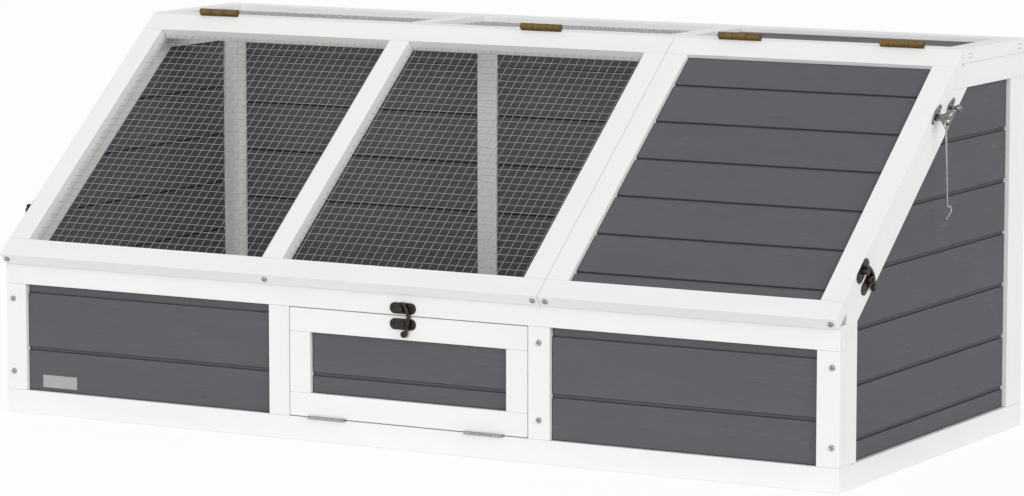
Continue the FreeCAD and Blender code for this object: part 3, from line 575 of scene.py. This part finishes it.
board_low, board_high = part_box("front_left_boards")
plate_corner = Vector((board_low[0] + plate_inset.x, board_low[1], board_low[2] + plate_inset.y))
mesh = bmesh.new()
bmesh.ops.create_cube(mesh, size=1)
for vertex in mesh.verts:
    vertex.co = plate_corner + Vector(((vertex.co.x + 0.5) * plate_size.x,
                                       (vertex.co.y - 0.5) * plate_thick,
                                       (vertex.co.z + 0.5) * plate_size.y))
upright = [edge for edge in mesh.edges
           if abs(edge.verts[0].co.y - edge.verts[1].co.y) > plate_thick / 2]
bmesh.ops.bevel(mesh, geom=upright, offset=corner_round, segments=4, profile=0.5, affect="EDGES")
half_way = board_low[1] - plate_thick / 2
rim = [edge for edge in mesh.edges if max(vertex.co.y for vertex in edge.verts) < half_way]
bmesh.ops.bevel(mesh, geom=rim, offset=rim_ease, segments=2, profile=0.5, affect="EDGES")
piece("bare_plate", mesh, brushed, body="enclosure")

# Staples: wire staples driven through the roof's end rails into the ends of its front and rear
# rails, two at each corner, with their crowns just proud of the paint.

crown_length, crown_gauge, crown_step, leg_length, crown_sides = 0.0086, 0.0008, 0.0054, 0.002, 8
front_inset, rear_inset, staple_height = 0.0235, 0.0205, 0.009


def staple_pair(name, x, y, z, inward):
    """Two crowns, one above the other, whose legs turn into the wood."""
    mesh = bmesh.new()
    for rise in (-crown_step / 2, crown_step / 2):
        ends = [Vector((x, y + half * crown_length, z + rise)) for half in (-0.5, 0.5)]
        strand(mesh, *ends, crown_gauge / 2, crown_sides)
        for end in ends:
            strand(mesh, end, end + Vector((inward * leg_length, 0, 0)), crown_gauge / 2, crown_sides)
    bmesh.ops.recalc_face_normals(mesh, faces=mesh.faces)
    piece(name, mesh, bright_zinc, body="enclosure")


rail_low, rail_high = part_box("roof_end_rails")
for side, x, inward in (("right", rail_high[0], -1), ("left", rail_low[0], 1)):
    height = rail_low[2] + staple_height
    staple_pair(f"{side}_front_staples", x, rail_low[1] + front_inset, height, inward)
    staple_pair(f"{side}_rear_staples", x, rail_high[1] - rear_inset, height, inward)

# Studio: a pale floor that is white to the eye and still holds the shadow, white all round, two
# wide soft lamps and the camera of the photograph.

floor_size, floor_drop, floor_glow, fill_light = 40, 0.0005, 0.93, 0.52
lamp_distance = 6

floor_mesh = bmesh.new()
bmesh.ops.create_grid(floor_mesh, x_segments=2, y_segments=2, size=floor_size)
floor_data = bpy.data.meshes.new("studio_floor")
floor_mesh.to_mesh(floor_data)
floor_mesh.free()
studio_floor = bpy.data.objects.new("studio_floor", floor_data)
studio_floor.location.z = -floor_drop
bpy.context.scene.collection.objects.link(studio_floor)


def seen(start):
    """One where the eye, a gloss or a glass looks, and zero for light that falls on a surface."""
    camera_ray, glossy_ray, clear_ray = [start.make("LightPath", {}, {}, f"Is {kind} Ray")
                                         for kind in ("Camera", "Glossy", "Transmission")]
    return camera_ray + glossy_ray + clear_ray


pale, shader, start = finish("studio_floor")
put(shader, Base_Color=(0.95, 0.95, 0.95, 1), Roughness=0.9, Specular_IOR_Level=0)
glow = start.make("Emission", {}, {"Color": (1, 1, 1, 1), "Strength": 1.0})
surface = start.make("MixShader", {}, {0: seen(start) * floor_glow, 1: start, 2: glow})
pale.node_tree.links.new(surface.socket, pale.node_tree.nodes["Material Output"].inputs["Surface"])
floor_data.materials.append(pale)

world = bpy.data.worlds.new("studio")
bpy.context.scene.world = world
world.use_nodes = True
backdrop = world.node_tree.nodes["Background"]
start = Layer(backdrop.outputs[0])
strength = start.make("MapRange", {}, {"Value": seen(start), "To Min": fill_light, "To Max": 1.0})
world.node_tree.links.new(strength.socket, backdrop.inputs["Strength"])
backdrop.inputs["Color"].default_value = (1, 1, 1, 1)


def lamp(name, azimuth, height, softness, strength):
    """A far lamp: degrees to the right of the front, degrees up, and how wide it looks."""
    light = bpy.data.lights.new(name, "SUN")
    light.energy, light.angle = strength, math.radians(softness)
    made = bpy.data.objects.new(name, light)
    made.rotation_euler = (math.radians(90 - height), 0, math.radians(azimuth))
    made.location = made.rotation_euler.to_matrix() @ Vector((0, 0, lamp_distance))
    bpy.context.scene.collection.objects.link(made)


lamp("front_lamp", azimuth=0, height=14, softness=30, strength=1.0)
lamp("side_lamp", azimuth=70, height=25, softness=40, strength=1.22)

camera_dip, camera_turn = math.radians(7.52482), math.radians(29.29276)
camera = bpy.data.cameras.new("photo_camera")
camera.sensor_width, camera.lens = 36, 155.7156
camera.clip_end = 200
viewpoint = bpy.data.objects.new("photo_camera", camera)
viewpoint.location = (2.783157, -4.955238, 0.973400)
viewpoint.rotation_euler = (math.radians(90) - camera_dip, 0, camera_turn)
bpy.context.scene.collection.objects.link(viewpoint)
bpy.context.scene.camera = viewpoint
bpy.context.scene.view_settings.view_transform = "Standard"
